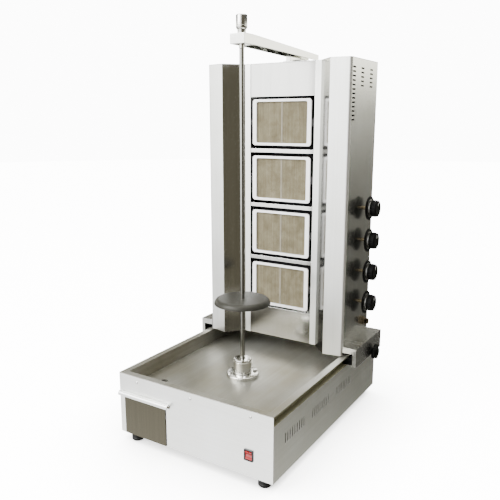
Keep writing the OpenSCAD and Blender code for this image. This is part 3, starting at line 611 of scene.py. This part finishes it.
floor_finish = Finish("floor", Roughness=0.8)
cloud = floor_finish.noise((3, 3, 3), 4)
tone = floor_finish.ramp(cloud, (0.3, (0.90, 0.90, 0.89)), (0.7, (0.93, 0.93, 0.92)))
# Painted shadow: the floor's glow is dimmed close to the object by ambient occlusion.
ao_shadow = floor_finish.node("AmbientOcclusion", {"Distance": 0.30}, samples=8).outputs["AO"]
inputs = {"Value": ao_shadow, "From Min": 0.25, "To Min": 1.2, "To Max": BACKDROP}
glow_and_shadow = floor_finish.node("MapRange", inputs).outputs[0]
floor_finish.shader.inputs["Emission Color"].default_value = (*WHITE, 1)
floor_finish.tree.links.new(glow_and_shadow, floor_finish.shader.inputs["Emission Strength"])
floor_finish.surface(tone)
ground = bmesh.new()
bmesh.ops.create_circle(ground, cap_ends=True, segments=96, radius=14)
floor_mesh = bpy.data.meshes.new("floor")
ground.to_mesh(floor_mesh)
ground.free()
floor_mesh.materials.append(floor_finish.material)
floor = bpy.data.objects.new("floor", floor_mesh)
floor.visible_glossy = False
floor.visible_diffuse = False
bpy.context.scene.collection.objects.link(floor)

world = bpy.data.worlds.new("studio")
bpy.context.scene.world = world
world.use_nodes = True
tree = world.node_tree
background = tree.nodes["Background"]
BRIGHT = 5.5  # brightness of the brightest panel of the room


def world_node(kind, inputs=None, **settings):
    return add_node(tree, kind, inputs, **settings)


def world_mix(factor, a, b):
    return world_node("Mix", {0: factor, 6: a, 7: b}, data_type="RGBA").outputs[2]


def lobe(direction, start, stop, source=None):
    """1 towards a direction, 0 away from it."""
    unit = Vector(direction).normalized()
    inputs = {0: source or sky.outputs["Generated"], 1: unit}
    towards = world_node("VectorMath", inputs, operation="DOT_PRODUCT")
    inputs = {"Value": towards.outputs["Value"], "From Min": start, "From Max": stop}
    return world_node("MapRange", inputs, interpolation_type="SMOOTHSTEP").outputs[0]


def layers(tint, *stops):
    """Brightness by height, from (height of the direction, brightness) stops."""
    shades = [((height + 1) / 2, [level / BRIGHT * part for part in tint]) for height, level in stops]
    return add_ramp(tree, upness, shades)


sky = world_node("TexCoord")
upness = world_node("SeparateXYZ", {0: sky.outputs["Generated"]}).outputs["Z"]
upness = world_node("MapRange", {"Value": upness, "From Min": -1.0}).outputs[0]
flat = {0: sky.outputs["Generated"], 1: (1.0, 1.0, 0.0)}
level_part = world_node("VectorMath", flat, operation="MULTIPLY")
heading = world_node("VectorMath", {0: level_part.outputs[0]}, operation="NORMALIZE").outputs[0]

# White panels stand in front and to the left; the rest of the room is dim and warm.
front = layers((1.0, 1.0, 0.99), (-1.0, 1.0), (-0.56, 4.5), (-0.44, 4.5), (-0.36, 1.0), (-0.27, 0.7),
               (-0.16, 3.6), (0.0, 5.5), (0.6, 5.0), (1.0, 2.5))
back = layers((1.0, 0.98, 0.86), (-1.0, 0.5), (-0.60, 1.0), (-0.52, 0.7), (-0.45, 0.20), (-0.36, 0.11),
              (-0.22, 0.13), (-0.14, 0.18), (-0.06, 0.30), (0.055, 0.75), (0.085, 4.4), (0.15, 4.4),
              (0.18, 0.3), (0.30, 0.15), (0.46, 0.15), (0.72, 1.3), (1.0, 2.5))
in_front = lobe((-0.342, -0.940, 0.0), 0.73, 0.80, heading)
room = world_mix(in_front, back, front)

# A dim olive panel stands at the right, where the right-hand sides mirror it.
olive = (*[part / BRIGHT for part in (0.16, 0.145, 0.10)], 1)
room = world_mix(lobe((0.83, -0.53, -0.12), 0.55, 0.92), room, olive)

# The camera sees a plain white background instead of the room.
seen = world_node("LightPath").outputs["Is Camera Ray"]
level = world_node("MapRange", {"Value": seen, "To Min": BRIGHT, "To Max": BACKDROP}).outputs[0]
shown = world_mix(seen, room, (*WHITE, 1))
tree.links.new(shown, background.inputs["Color"])
tree.links.new(level, background.inputs["Strength"])


def softbox(name, place, target, size, power):
    """Square lamp, sized in metres, that faces a target."""
    data = bpy.data.lights.new(name, "AREA")
    data.shape = "SQUARE"
    data.size = size
    data.energy = power
    lamp = bpy.data.objects.new(name, data)
    lamp.location = place
    lamp.rotation_euler = (Vector(target) - Vector(place)).to_track_quat("-Z", "Y").to_euler()
    bpy.context.scene.collection.objects.link(lamp)


softbox("key", (-1.6, -3.0, 3.0), (0, 0, 0.5), 2.4, 300)
softbox("top", (0.2, 0.2, 3.6), (0, 0, 0.5), 2.0, 60)
